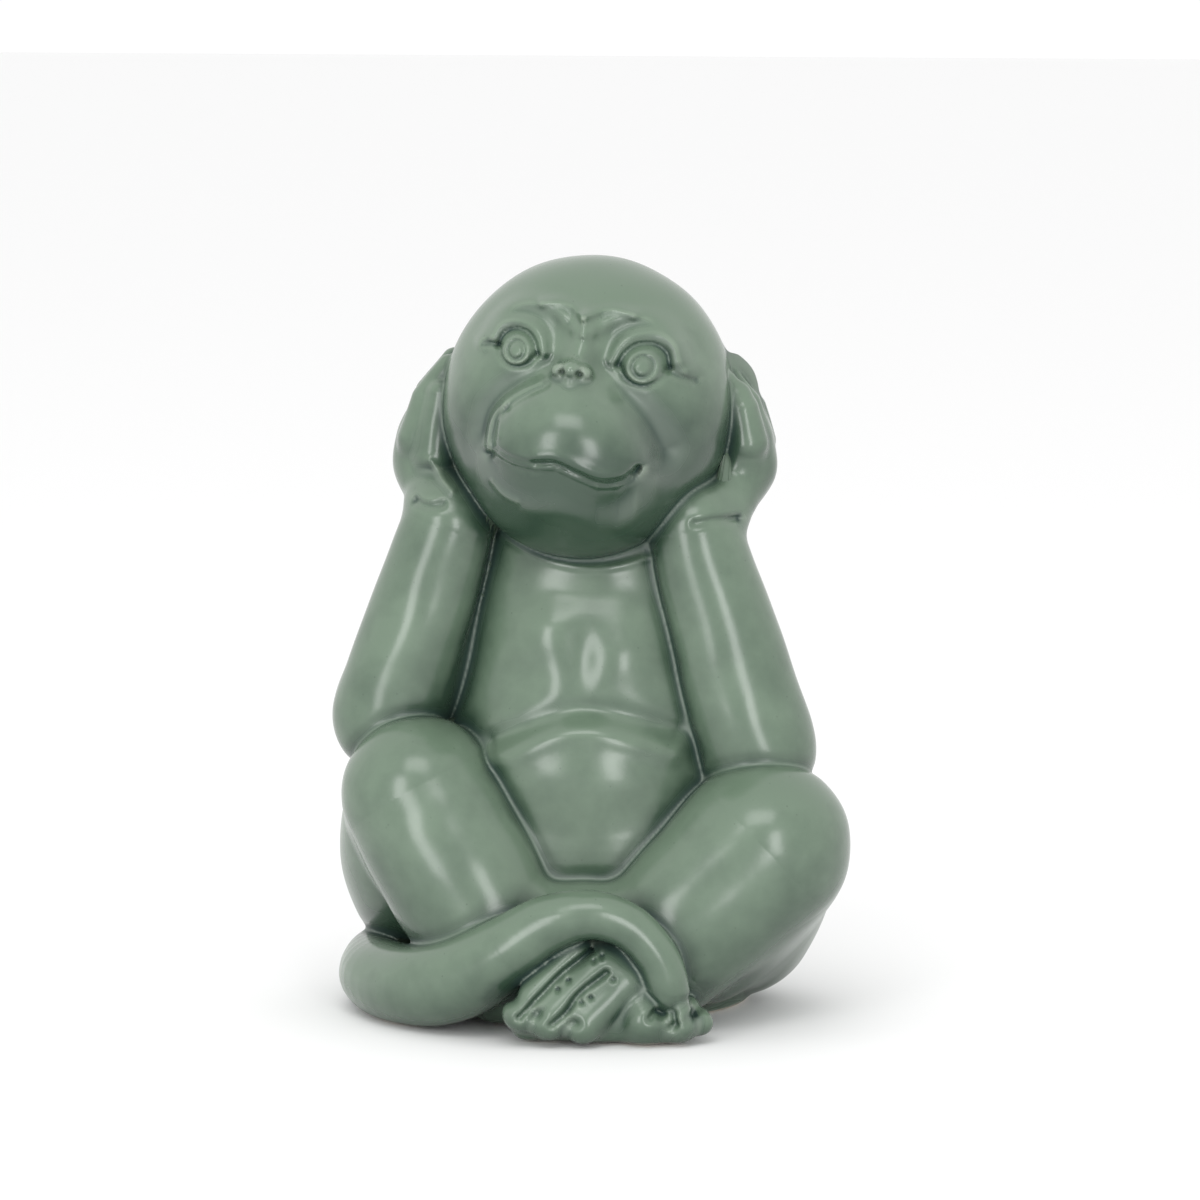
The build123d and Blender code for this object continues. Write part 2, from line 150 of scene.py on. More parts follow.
# %% Lines through places, and tubes along them
def smooth_line(points, steps=8):
    """A Catmull-Rom curve through points, as a list of close places."""
    points = np.asarray(points, np.float32)
    ends = np.vstack([2 * points[0] - points[1], points, 2 * points[-1] - points[-2]])
    places = []
    for i in range(1, len(ends) - 2):
        a, b, c, d = ends[i - 1:i + 3]
        for step in range(steps):
            t = step / steps
            places.append(0.5 * (2 * b + (c - a) * t + (2 * a - 5 * b + 4 * c - d) * t * t
                                 + (3 * b - a - 3 * c + d) * t * t * t))
    places.append(points[-1])
    return np.array(places, np.float32)


def tube(P, line):
    """Round tube along a line of places, each with its radius as a fourth number."""
    best = np.full(len(P), 1e3, np.float32)
    for start, end in zip(line[:-1], line[1:]):
        best = np.minimum(best, limb(P, start[:3], start[3], end[:3], end[3]))
    return best


def soft_tube(P, line, hardness=2.0, growth=0.2):
    """The same without facets: all of its stretches are blended, which makes it a bit fatter."""
    total = np.full(len(P), 1e-12, np.float32)
    for start, end in zip(line[:-1], line[1:]):
        total += np.exp(-hardness * limb(P, start[:3], start[3], end[:3], end[3]))
    return growth - np.log(total) / hardness


# %% [markdown]
# Carving is drawn the way a sculptor draws it: as lines and spots on a flat plan of the front,
# across and up. Each adds its height to a relief, which is then taken from the field.

# %% Relief on the front
RELIEF_REACH = 3.2  # widths, past which a line adds nothing


def line_gap(x, z, line):
    """Distance from places on the front's plan to a line drawn on it."""
    best = np.full(len(x), 1e6, np.float32)
    for (x0, z0), (x1, z1) in zip(line[:-1], line[1:]):
        dx, dz = x1 - x0, z1 - z0
        share = np.clip(((x - x0) * dx + (z - z0) * dz) / (dx * dx + dz * dz + 1e-9), 0, 1)
        best = np.minimum(best, (x - x0 - share * dx) ** 2 + (z - z0 - share * dz) ** 2)
    return np.sqrt(best)


def add_line(relief, x, z, points, width, height, steps=6):
    """Adds a soft ridge, or a groove if the height is negative, along a drawn line."""
    line = smooth_line(points, steps)
    reach = RELIEF_REACH * width
    low, high = line.min(0) - reach, line.max(0) + reach
    near = np.nonzero((x > low[0]) & (x < high[0]) & (z > low[1]) & (z < high[1]))[0]
    if len(near):
        gap = line_gap(x[near], z[near], line)
        relief[near] += height * np.exp(-(gap / width) ** 2)


def add_spot(relief, x, z, middle, sizes, height):
    """Adds a soft round bump or dent."""
    away = ((x - middle[0]) / sizes[0]) ** 2 + ((z - middle[1]) / sizes[1]) ** 2
    relief += height * np.exp(-away)


def ease(value):
    """A soft step from 0 to 1."""
    value = np.clip(value, 0.0, 1.0)
    return value * value * (3.0 - 2.0 * value)


# %% [markdown]
# ## Head
# The head is a round casting with a full muzzle, and it leans a little. It could be turned on a
# lathe and the face pressed in afterwards. Here it is an egg, blended with a smaller egg for the
# muzzle and one for the chin. The face is a relief on it, drawn in the head's own axes: x
# across, z up, both from the head's middle. One relief function holds all lines, so the lids,
# brows and folds flow into each other as they do in slip.

# %% The head's place and axes
RIGHT, LEFT = -1, 1  # the monkey's own sides, as the sign of x
HEAD_MIDDLE = np.array((0.0, -6.0, 159.8), np.float32)
HEAD_SIZES = (38.3, 38.0, 39.2)
LEAN = math.radians(7.0)
MUZZLE = ((0.6, -27.4, -8.4), (23.6, 21.6, 20.6))
CHIN = ((0.5, -16.5, -20.0), (23.0, 18.0, 17.0))


def head_axes(P):
    """Places turned into the leaning head's own axes."""
    offset = P - HEAD_MIDDLE
    turned = np.empty_like(offset)
    turned[:, 0] = offset[:, 0] * math.cos(LEAN) - offset[:, 2] * math.sin(LEAN)
    turned[:, 1] = offset[:, 1]
    turned[:, 2] = offset[:, 0] * math.sin(LEAN) + offset[:, 2] * math.cos(LEAN)
    return turned


print("head middle", HEAD_MIDDLE.tolist(), "half sizes", HEAD_SIZES)

# %% Eyes
# The lines of an eye are drawn from its own middle, outwards and up.
EYE_X, EYE_Z = 16.5, 15.0
EYE_SCALE = {RIGHT: 0.97, LEFT: 1.10}
EYE_SOCKET = ((-0.5, 2.5), (11.5, 10.0), -2.1)  # middle, half sizes and height of a spot
NOSE_SIDE = ((-9.8, 4.6), (4.6, 6.4), -2.0)
EYEBALL = ((0.0, 0.3), (6.2, 5.6), 2.4)
UPPER_LID = [(5.6, 0.2), (4.4, 3.3), (1.4, 5.0), (-2.2, 4.6), (-4.6, 2.4), (-5.8, -0.4)]
LOWER_LID = [(5.6, 0.2), (3.8, -2.9), (0.4, -4.2), (-3.4, -3.2), (-5.8, -0.4)]
LID_ROLL = [(7.4, 2.2), (5.7, 5.6), (1.6, 7.6), (-2.8, 7.2), (-6.0, 4.6), (-7.6, 0.6)]
CORNER = {RIGHT: [(5.4, 0.3), (7.6, 0.2), (10.2, -0.4)],
          LEFT: [(5.4, -0.4), (8.2, -1.6), (11.4, -2.6)]}
IRIS_RINGS = [(3.4, 0.65, 0.40), (2.4, 0.55, -0.34)]  # radius, width and height
PUPIL_RADIUS, PUPIL_HEIGHT = 2.1, 0.36


def eye_relief(relief, x, z, side):
    """Socket, lids, iris ring and pupil of one eye."""
    u, v = side * x - EYE_X, z - EYE_Z
    add_spot(relief, u, v, *EYE_SOCKET)
    add_spot(relief, u, v, *NOSE_SIDE)
    u, v = u / EYE_SCALE[side], v / EYE_SCALE[side]
    add_spot(relief, u, v, *EYEBALL)
    add_line(relief, u, v, LID_ROLL, 1.6, 1.15)
    add_line(relief, u, v, UPPER_LID, 0.85, -0.85)
    add_line(relief, u, v, LOWER_LID, 0.85, -0.70)
    add_line(relief, u, v, CORNER[side], 0.9, -0.55)
    gap = np.hypot(u, v)
    for radius, width, height in IRIS_RINGS:
        relief += height * np.exp(-((gap - radius) / width) ** 2)
    relief += PUPIL_HEIGHT * ease(PUPIL_RADIUS - gap)


# %% Brows, folds and mouth
MOUTH = [(-16.5, -10.1), (-12.0, -11.2), (-6.0, -11.4), (-0.6, -10.7), (5.2, -12.6),
         (10.4, -14.3), (15.0, -13.8), (18.3, -11.5), (19.4, -10.0)]
MOUTH_CORNER = (-19.2, -11.4)
LIP_STEP, LIP_EDGE, LIP_END = 1.8, 2.4, 14.0  # depth below the lip, its edge and where it ends
MUZZLE_BRIDGE = [(0.2, 26.2), (0.8, 22.4), (0.6, 18.0), (-0.4, 13.6)]
CREST = [(3.6, 27.8), (7.8, 28.6), (12.0, 27.6)]
CREST_MIDDLE = (-0.1, 25.8)
BROW = [(3.0, 22.6), (6.6, 25.6), (12.4, 27.4), (19.0, 25.8), (23.8, 21.4), (26.9, 15.2)]
LEFT_FOLD = [(-8.5, 8.4), (-13.0, 5.5), (-17.0, 2.0), (-19.7, -2.0), (-20.4, -6.5), (-19.6, -10.5)]
SHORT_FOLD = [(-17.0, 1.0), (-17.4, -2.6), (-16.9, -6.2)]
LEFT_TROUGH = [(-7.0, 12.2), (-12.0, 8.8), (-17.0, 4.4), (-20.6, -0.8), (-21.8, -6.5)]
RIGHT_TROUGH = [(7.3, 13.1), (13.4, 7.3), (19.6, 0.5), (23.6, -5.6)]
JAW_FOLD = [(-18.2, -19.2), (-14.6, -21.6), (-10.7, -22.7)]
FROWN = [(-0.1, 26.4), (0.2, 24.0), (0.4, 21.4)]


def face_relief(x, z):
    """Height of the carving over the bare head and muzzle."""
    relief = np.zeros(len(x), np.float32)
    for side in (RIGHT, LEFT):
        eye_relief(relief, x, z, side)
        add_line(relief, x, z, [(side * px, pz) for px, pz in BROW], 2.1, 1.2)
        crest = [CREST_MIDDLE] + [(side * px, pz) for px, pz in CREST]
        add_line(relief, x, z, crest, 1.3, 0.9)
        add_spot(relief, x, z, (side * 3.6, 22.4), (1.6, 3.4), -0.7)
    add_line(relief, x, z, MUZZLE_BRIDGE, 2.7, 1.5)
    add_line(relief, x, z, FROWN, 1.0, 0.7)
    add_line(relief, x, z, LEFT_TROUGH, 3.6, -2.0)
    add_line(relief, x, z, RIGHT_TROUGH, 4.2, -2.5)
    add_line(relief, x, z, LEFT_FOLD, 1.1, 0.6)
    add_line(relief, x, z, LEFT_FOLD[2:], 1.1, 0.5)
    add_line(relief, x, z, [(px + 2.0, pz - 0.5) for px, pz in LEFT_FOLD], 1.1, -0.5)
    add_line(relief, x, z, SHORT_FOLD, 0.9, 0.45)
    add_line(relief, x, z, JAW_FOLD, 1.1, 0.4)
    add_line(relief, x, z, MOUTH, 1.0, -0.8, steps=8)
    add_line(relief, x, z, MOUTH[2:], 0.95, -0.9, steps=8)
    add_line(relief, x, z, MOUTH[-2:], 0.9, -0.6)
    add_line(relief, x, z, [(px + 0.4, pz + 2.3) for px, pz in MOUTH[2:7]], 1.5, 0.45)
    add_spot(relief, x, z, MOUTH_CORNER, (1.4, 1.9), -1.3)
    lip = np.interp(x, [p[0] for p in MOUTH], [p[1] for p in MOUTH]).astype(np.float32)
    below = lip - z
    fade = ease((24.0 - np.abs(x)) / 8.0)
    relief -= LIP_STEP * ease(below / LIP_EDGE) * ease((LIP_END - below) / 10.0) * fade
    return relief


# %% Nose and the whole head
NOSE_X = -0.8


def nose_field(Q):
    """Tip, two wings and the small lobe under them."""
    nose = egg(Q, (NOSE_X, -37.4, 12.6), (2.6, 3.2, 2.4))
    for side in (RIGHT, LEFT):
        wing = egg(Q, (side * 3.4 + NOSE_X, -36.3, 12.0), (1.9, 2.4, 1.8))
        nose = smooth_min(nose, wing, 1.6)
    return smooth_min(nose, egg(Q, (NOSE_X, -37.6, 9.8), (1.3, 1.8, 1.0)), 0.8)


def head_field(P):
    Q = head_axes(P)
    x, y, z = Q[:, 0].copy(), Q[:, 1], Q[:, 2].copy()
    field = egg(Q, (0, 0, 0), HEAD_SIZES)
    field = smooth_min(field, egg(Q, *MUZZLE), 6.0)
    field = smooth_min(field, egg(Q, *CHIN), 9.0)
    front = ease((-y - 4.0) / 12.0)
    show = np.nonzero(front > 0)[0]
    if len(show):
        field[show] -= face_relief(x[show], z[show]) * front[show]
    field = smooth_min(field, nose_field(Q), 2.2)
    for side in (RIGHT, LEFT):
        pit = egg(Q, (side * 2.3 + NOSE_X, -39.8, 11.7), (0.95, 2.8, 1.0))
        field = smooth_max(field, -pit, 0.8)
    return field


# %% [markdown]
# ## Torso
# The torso is a plain casting with a round belly. A loft through ovals would do for a mesh, and
# the CAD model has one. As a field it is the same stack of ovals, read by height, with the belly
# as an egg in front. The soft ridge over the belly is the edge of the ribs.

# %% Torso
TORSO_HEIGHT = 142.0
SHOULDER_LEVEL = 0.95
# Height, half width, half depth and set-back, as shares of the height and the sizes
TORSO_SHARES = np.array([
    (0.00, 0.95, 0.97, 1.00),
    (0.10, 1.02, 1.04, 0.85),
    (0.26, 1.03, 1.06, 0.55),
    (0.44, 0.98, 1.00, 0.45),
    (0.60, 0.90, 0.92, 0.60),
    (0.74, 0.84, 0.85, 0.80),
    (0.85, 0.78, 0.73, 0.80),
    (0.93, 0.66, 0.62, 0.60),
    (0.98, 0.42, 0.38, 0.40),
], np.float32)
TORSO_SIZES = np.array((43.0, 39.0, 8.0), np.float32)
torso_line = smooth_line(TORSO_SHARES)
BELLY = ((-1.0, -14.0, 66.0), (27.0, 23.0, 21.0))
NECK = [(-21.9, 125.6), (-9.1, 120.4), (5.5, 118.8), (18.9, 121.4)]
RIBS = [(-22.0, 71.5), (-13.0, 76.0), (-4.0, 79.6), (5.0, 80.4), (15.0, 78.0), (25.0, 74.5)]
CHEST_SPOTS = [  # middle, half sizes and height
    ((-9.0, 103.0), (8.0, 8.0), 1.2),
    ((13.0, 96.0), (9.0, 8.0), 1.5),
    ((1.0, 95.0), (4.5, 10.0), -1.0),
    ((-14.0, 90.0), (7.0, 6.0), -0.8),
    ((3.0, 112.0), (17.0, 5.0), -0.9),
]


def torso_field(P):
    height = P[:, 2] / TORSO_HEIGHT
    half_x = np.interp(height, torso_line[:, 0], torso_line[:, 1]) * TORSO_SIZES[0]
    half_y = np.interp(height, torso_line[:, 0], torso_line[:, 2]) * TORSO_SIZES[1]
    back = np.interp(height, torso_line[:, 0], torso_line[:, 3]) * TORSO_SIZES[2]
    x, y = P[:, 0] / half_x, (P[:, 1] - back) / half_y
    field = (np.sqrt(x * x + y * y) - 1.0) * np.minimum(half_x, half_y) * 0.97
    field = smooth_max(field.astype(np.float32), P[:, 2] - SHOULDER_LEVEL * TORSO_HEIGHT, 8.0)
    field = smooth_min(field, egg(P, *BELLY), 6.0)
    relief = np.zeros(len(P), np.float32)
    x, z = P[:, 0].copy(), P[:, 2].copy()
    add_line(relief, x, z, [(px, pz - 2.8) for px, pz in RIBS], 3.4, 1.2)
    add_line(relief, x, z, [(px, pz + 2.2) for px, pz in RIBS], 3.0, -1.4)
    for spot in CHEST_SPOTS:
        add_spot(relief, x, z, *spot)
    add_line(relief, x, z, NECK, 1.2, 0.6)
    front = ease((-P[:, 1] - 2.0) / 12.0)
    return field - relief * front


print("torso:", len(torso_line), "levels up to", TORSO_HEIGHT, "mm")

# %% [markdown]
# ## Limbs
# Thighs, shins and arms are tapered limbs with a slight swell, which could be lathe-turned and
# bent. Two places with a radius each say the same in one line. Hips, knees, ankles, elbows and
# shoulders lie near those of the CAD model and were moved by a few millimetres to match the
# photograph, so a limb fills nearly the space of its CAD solid.

# %% Joints and radii of the limbs
HIPS = {RIGHT: (-41.5, 13.0, 21.8), LEFT: (35.5, 8.0, 24.0)}
HIP_RADIUS = {RIGHT: 21.2, LEFT: 23.4}
THIGH_SWELL = {RIGHT: 4.4, LEFT: 1.2}
KNEES = {RIGHT: (-41.6, -27.0, 59.0), LEFT: (48.2, -26.0, 47.0)}
ANKLES = {RIGHT: (-19.5, -34.0, 22.5), LEFT: (22.5, -33.5, 22.0)}
ELBOWS = {RIGHT: (-52.3, -14.0, 77.0), LEFT: (45.0, -14.0, 71.0)}
ELBOW_RADIUS = {RIGHT: 14.7, LEFT: 15.9}
SHOULDERS = {RIGHT: (-23.0, 9.0, 112.2), LEFT: (23.0, 9.0, 112.2)}
KNEE_RADIUS, ANKLE_RADIUS, SHIN_SWELL = 20.6, 19.6, 1.4
KNEE_BACK = 3.0  # how far behind the knee's middle the thigh ends
THIGH_RADIUS = 19.8
CALF_RADIUS = 21.0
BAND_RADIUS = 12.6
WRIST_SPREAD, WRIST_FORWARD, WRIST_DROP = 32.0, 8.0, 30.8
WRIST_RADIUS, FOREARM_SWELL = 12.0, 0.8
UPPER_ARM_BACK = 3.0
UPPER_ARM_RADIUS, SHOULDER_RADIUS = 13.6, 17.5


def beside_head(side, spread, forward, drop):
    """A place beside the head, from the head's middle, that follows the head's lean."""
    shift = drop * math.sin(LEAN)
    return HEAD_MIDDLE + np.array((side * spread - shift, -forward, -drop), np.float32)


# %% Legs
# Between the ankles the shins run together in a low band, which each leg brings its half of.
BAND = {RIGHT: ((-19.0, -36.0, 26.5), (3.0, -36.0, 26.5)),
        LEFT: ((3.0, -36.0, 26.5), (22.0, -36.0, 26.5))}


def leg_field(P, side):
    x, y, z = KNEES[side]
    knee_back = (x, y + KNEE_BACK, z)
    thigh = limb(P, HIPS[side], HIP_RADIUS[side], knee_back, THIGH_RADIUS, THIGH_SWELL[side])
    shin = limb(P, KNEES[side], KNEE_RADIUS, ANKLES[side], ANKLE_RADIUS, SHIN_SWELL)
    band = limb(P, BAND[side][0], BAND_RADIUS, BAND[side][1], BAND_RADIUS)
    shin = smooth_min(shin, band, 3.0)
    if side == RIGHT:
        return smooth_min(thigh, shin, 2.0)
    middle = (np.array(HIPS[side]) + np.array(ANKLES[side])) / 2
    calf = limb(P, knee_back, THIGH_RADIUS, middle, CALF_RADIUS)
    return smooth_min(smooth_min(thigh, shin, 9.0), calf, 6.0)


# %% Arms
WRIST_LINES = {RIGHT: [(-43.6, 135.2), (-40.0, 134.4), (-36.2, 134.9)],
               LEFT: [(30.4, 131.2), (35.2, 131.9), (40.0, 131.6)]}
PALM_EDGE = [(-41.0, 145.6), (-37.6, 141.8), (-33.8, 138.6)]


def wrist_relief(P, side):
    """The short crease in front of a wrist, and the edge of the right palm."""
    relief = np.zeros(len(P), np.float32)
    x, z = P[:, 0].copy(), P[:, 2].copy()
    add_line(relief, x, z, WRIST_LINES[side], 1.15, -1.0)
    if side == RIGHT:
        add_line(relief, x, z, PALM_EDGE, 1.1, 0.7)
    return relief * ease((-P[:, 1] - 5.0) / 8.0)


def arm_field(P, side):
    x, y, z = ELBOWS[side]
    wrist = beside_head(side, WRIST_SPREAD, WRIST_FORWARD, WRIST_DROP)
    forearm = limb(P, ELBOWS[side], ELBOW_RADIUS[side], wrist, WRIST_RADIUS, FOREARM_SWELL)
    bend = (x, y + UPPER_ARM_BACK, z + UPPER_ARM_BACK)
    upper = limb(P, bend, UPPER_ARM_RADIUS, SHOULDERS[side], SHOULDER_RADIUS)
    return smooth_min(forearm, upper, 3.0) - wrist_relief(P, side)


for side in (RIGHT, LEFT):
    wrist = beside_head(side, WRIST_SPREAD, WRIST_FORWARD, WRIST_DROP)
    print("wrist at", [round(float(v), 1) for v in wrist])


# %% [markdown]
# ## Hands and ears
# Each hand is a cupped palm beside the head, with four bent fingers laid up its side and a
# thumb in front. Fingers could be pressed and luted on one at a time. Here one row of places
# serves all four, and a loop sets them side by side. The ear is a dished disc, mostly behind
# the hand.

# %% Hands
PALMS = {RIGHT: ((-43.3, 1.0, 146.3), (9.6, 12.0, 14.0)),
         LEFT: ((40.2, 2.5, 146.3), (7.9, 12.0, 13.5))}
# Root, knuckle and tip of a finger, each with its place across, its height and its radius
FINGERS = {RIGHT: [(-45.2, 151.5, 5.6), (-42.4, 161.5, 4.9), (-36.9, 170.6, 3.4)],
           LEFT: [(41.9, 151.5, 5.3), (40.1, 160.0, 4.6), (36.2, 167.4, 3.2)]}
HEELS = {RIGHT: [(-43.2, 0.0, 143.0, 9.0), (-39.8, -8.0, 135.6, 8.6)],
         LEFT: [(40.6, 0.0, 143.0, 7.8), (35.8, -8.0, 134.4, 7.8)]}
THUMBS = {RIGHT: [(-40.4, -9.5, 146.0, 5.4), (-38.6, -10.0, 162.5, 3.5)],
          LEFT: [(40.6, -5.0, 146.0, 5.2), (38.8, -5.5, 163.0, 3.6)]}
FINGER_COUNT = 4
FINGER_PITCH = 6.2
FIRST_FINGER = -6.5
FINGER_STEP = 1.2  # how much each finger beside the longest one is lower
FINGER_RAKE = 0.05  # how much the fingers lean back, from the level below upwards
RAKE_LEVEL = 150.0


def hand_field(P, side):
    middle, half_sizes = PALMS[side]
    heel = tube(P, np.array(HEELS[side], np.float32))
    field = smooth_min(egg(P, middle, half_sizes), heel, 3.0)
    for index in range(FINGER_COUNT):
        y = FIRST_FINGER + index * FINGER_PITCH
        lift = -FINGER_STEP * abs(index - 1)
        bones = [(x, y + FINGER_RAKE * (z - RAKE_LEVEL), z + lift, radius)
                 for x, z, radius in FINGERS[side]]
        field = smooth_min(field, tube(P, np.array(bones, np.float32)), 1.6)
    field = smooth_min(field, tube(P, np.array(THUMBS[side], np.float32)), 1.8)
    return field - wrist_relief(P, side)


# %% Ears
# Middle, outward direction and radius of each ear
EARS = {RIGHT: ((-36.0, 0.5, 161.0), (-0.80, -0.60, 0.0), 9.0),
        LEFT: ((34.4, 1.0, 162.8), (0.50, -0.866, 0.0), 11.0)}
EAR_THICKNESS = 4.2
DISH_PLACE, DISH_RADIUS = 14.0, 13.2


def ear_field(P, side):
    """A flat disc with a shallow dish ground into its front."""
    middle, out, radius = EARS[side]
    out = np.array(out, np.float32)
    offset = P - np.array(middle, np.float32)
    along = offset @ out
    flat = offset - along[:, None] * out
    across = np.sqrt(np.einsum("ij,ij->i", flat, flat))
    field = (np.hypot(across / radius, along / EAR_THICKNESS) - 1.0) * EAR_THICKNESS
    dish = np.hypot(across, along - DISH_PLACE) - DISH_RADIUS
    return smooth_max(field, -dish, 1.0)


# %% [markdown]
# ## Tail and feet
# The tail leaves the rump at the back, lies round the monkey's right side and arches over the
# crossed ankles. A rolled coil of clay makes it, and here a tube along a smooth line does. Under
# the arch lie the feet, with a pit for each nail and small dimples on the knuckles.

# %% Tail
# Across, forward, up and radius, as shares of the sizes that follow
TAIL_SHARES = [
    (0.00, -0.74, 0.29, 1.04),
    (-0.42, -0.68, 0.29, 1.03),
    (-0.80, -0.42, 0.28, 1.01),
    (-1.00, -0.05, 0.28, 1.00),
    (-0.97, 0.36, 0.28, 1.02),
    (-0.76, 0.68, 0.31, 1.10),
    (-0.50, 0.87, 0.44, 1.12),
    (-0.27, 0.97, 0.67, 0.96),
    (-0.06, 1.01, 0.91, 0.76),
    (0.14, 1.02, 1.00, 0.64),
    (0.32, 1.00, 0.89, 0.59),
    (0.44, 0.98, 0.66, 0.58),
    (0.49, 0.97, 0.40, 0.58),
]
TAIL_SIZES = (56.0, -56.0, 33.8, 9.6)
tail_line = smooth_line(np.array(TAIL_SHARES) * TAIL_SIZES, steps=5)


def tail_field(P):
    return soft_tube(P, tail_line)


print("tail:", len(tail_line), "places")

# %% Feet
# Each toe has its root, its tip and its two radii.
TOES = {
    LEFT: [((3.0, -53.5, 22.0), (-9.6, -61.5, 8.8), 5.6, 5.2),
           ((10.0, -55.0, 19.0), (-2.6, -61.6, 7.0), 5.6, 5.3),
           ((16.0, -54.5, 15.5), (6.2, -60.4, 6.2), 6.0, 5.4)],
    RIGHT: [((18.0, -52.0, 11.5), (21.8, -56.6, 6.4), 7.0, 5.9),
            ((25.5, -51.0, 12.0), (30.6, -56.0, 6.4), 5.2, 4.6),
            ((31.5, -48.0, 8.0), (35.4, -52.0, 5.4), 3.8, 3.3)],
}
SOLES = {LEFT: ((-8.5, -55.0, 5.0), (10.0, -55.0, 5.0)),
         RIGHT: ((10.0, -55.0, 5.0), (29.0, -53.5, 5.0))}
HEEL_LEVEL = HEEL_RADIUS = 11.0
SOLE_RADIUS = 5.0
BALLS = {LEFT: ((12.0, -50.0, 17.5), 9.6), RIGHT: ((20.0, -48.0, 10.0), 9.4)}
NAIL_PITS = {
    LEFT: [((-11.8, 12.3), (2.5, 2.3)), ((-5.0, 8.9), (2.1, 1.8)), ((4.6, 6.8), (1.9, 1.5))],
    RIGHT: [((26.2, 8.6), (1.6, 1.6)), ((29.2, 5.6), (1.5, 1.4)), ((33.3, 7.5), (1.7, 1.8))],
}
DIMPLES = [(-5.6, 21.2), (-3.0, 22.8), (-0.2, 15.0), (2.4, 17.2), (6.0, 12.0), (8.3, 13.2),
           (8.7, 22.2), (10.6, 23.2), (13.9, 17.6)]
TOE_LINES = {
    LEFT: [[(7.4, 24.0), (0.7, 18.8), (-4.5, 13.5), (-9.6, 8.2)],
           [(12.0, 19.2), (5.6, 14.2), (2.2, 9.6), (-1.2, 6.6)]],
    RIGHT: [[(22.3, 16.4), (25.5, 12.7), (28.8, 9.8), (30.0, 6.4)],
            [(28.0, 14.8), (33.8, 13.4), (35.2, 9.6)],
            [(23.6, 8.0), (24.6, 9.4), (26.4, 9.6)]],
}


def foot_field(P, side):
    """Foot as one mass, with the gaps of the toes, the knuckles and the nails cut into it."""
    middle, radius = BALLS[side]
    heel = (ANKLES[side][0], ANKLES[side][1], HEEL_LEVEL)
    field = limb(P, heel, HEEL_RADIUS, middle, radius)
    for root, tip, root_radius, tip_radius in TOES[side]:
        field = smooth_min(field, limb(P, root, root_radius, tip, tip_radius), 2.2)
    sole = limb(P, SOLES[side][0], SOLE_RADIUS, SOLES[side][1], SOLE_RADIUS)
    field = smooth_min(field, sole, 3.0)
    relief = np.zeros(len(P), np.float32)
    x, z = P[:, 0].copy(), P[:, 2].copy()
    for line in TOE_LINES[side]:
        add_line(relief, x, z, line, 1.0, -1.5)
    for place, sizes in NAIL_PITS[side]:
        add_spot(relief, x, z, place, sizes, -1.5)
    if side == LEFT:
        for place in DIMPLES:
            add_spot(relief, x, z, place, (0.75, 0.75), -0.8)
    return field - relief * ease((-P[:, 1] - 44.0) / 8.0)


# %% [markdown]
# ## One skin from all fields
# On the real figure the pieces are luted together and glazed as one. Booleans could join them,
# but they leave hard seams. Here the whole figure is the blend of all fields, cut flat at the
# ground, with a pocket for the base disc and a small room behind the pouring hole. Each field
# is asked only near its own piece: far away its answer isn't needed, and the work stays small.

# %% The pieces' fields
FIELDS = {
    "head": head_field,
    "torso": torso_field,
    "right_leg": lambda P: leg_field(P, RIGHT),
    "left_leg": lambda P: leg_field(P, LEFT),
    "right_arm": lambda P: arm_field(P, RIGHT),
    "left_arm": lambda P: arm_field(P, LEFT),
    "right_hand": lambda P: hand_field(P, RIGHT),
    "left_hand": lambda P: hand_field(P, LEFT),
    "right_ear": lambda P: ear_field(P, RIGHT),
    "left_ear": lambda P: ear_field(P, LEFT),
    "right_foot": lambda P: foot_field(P, RIGHT),
    "left_foot": lambda P: foot_field(P, LEFT),
    "tail": tail_field,
}
NAMES = list(FIELDS)
MARGIN = 9.0


def piece_box(name):
    low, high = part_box(name)
    low, high = np.array(low) / MM, np.array(high) / MM
    return (low - MARGIN).astype(np.float32), (high + MARGIN).astype(np.float32)


BOXES = {name: piece_box(name) for name in NAMES}


def piece_distances(P):
    """Distance of each place to each piece, as a table."""
    table = np.full((len(NAMES), len(P)), MARGIN, np.float32)
    for row, name in enumerate(NAMES):
        low, high = BOXES[name]
        inside = np.nonzero(np.all((P > low) & (P < high), axis=1))[0]
        if len(inside):
            table[row, inside] = np.minimum(FIELDS[name](P[inside]), MARGIN)
    return table


print(len(NAMES), "fields")

# %% Hand-made waves and the pocket for the disc
DISC_TOP = 4.05
WALL = 5.0
POCKET_TOP = 24.0  # nothing of the pocket reaches higher
POUR_ROOM = ((0.0, 15.0, 6.0), (15.0, 15.0, 12.0))


def hand_made(P):
    """Slow waves that a hand-carved model has all over, in millimetres."""
    x, y, z = P[:, 0] / 7.0, P[:, 1] / 7.0, P[:, 2] / 7.0
    wave = np.sin(x + 1.3 * np.sin(0.7 * z + 0.4 * y)) * np.sin(0.9 * z + 0.8 * np.sin(0.8 * x))
    return 0.20 * wave + 0.10 * np.sin(1.7 * z + 1.1 * y) * np.sin(1.5 * x - 0.6 * z)


def disc_pocket(P):
    """Room for the base disc, with a small hollow over its pouring hole."""
    half_x = TORSO_SHARES[0, 1] * TORSO_SIZES[0] - WALL
    half_y = TORSO_SHARES[0, 2] * TORSO_SIZES[1] - WALL
    x, y = P[:, 0] / half_x, (P[:, 1] - TORSO_SIZES[2]) / half_y
    oval = (np.sqrt(x * x + y * y) - 1.0) * half_y
    pocket = np.maximum(oval, P[:, 2] - DISC_TOP)
    return np.minimum(pocket, egg(P, *POUR_ROOM))


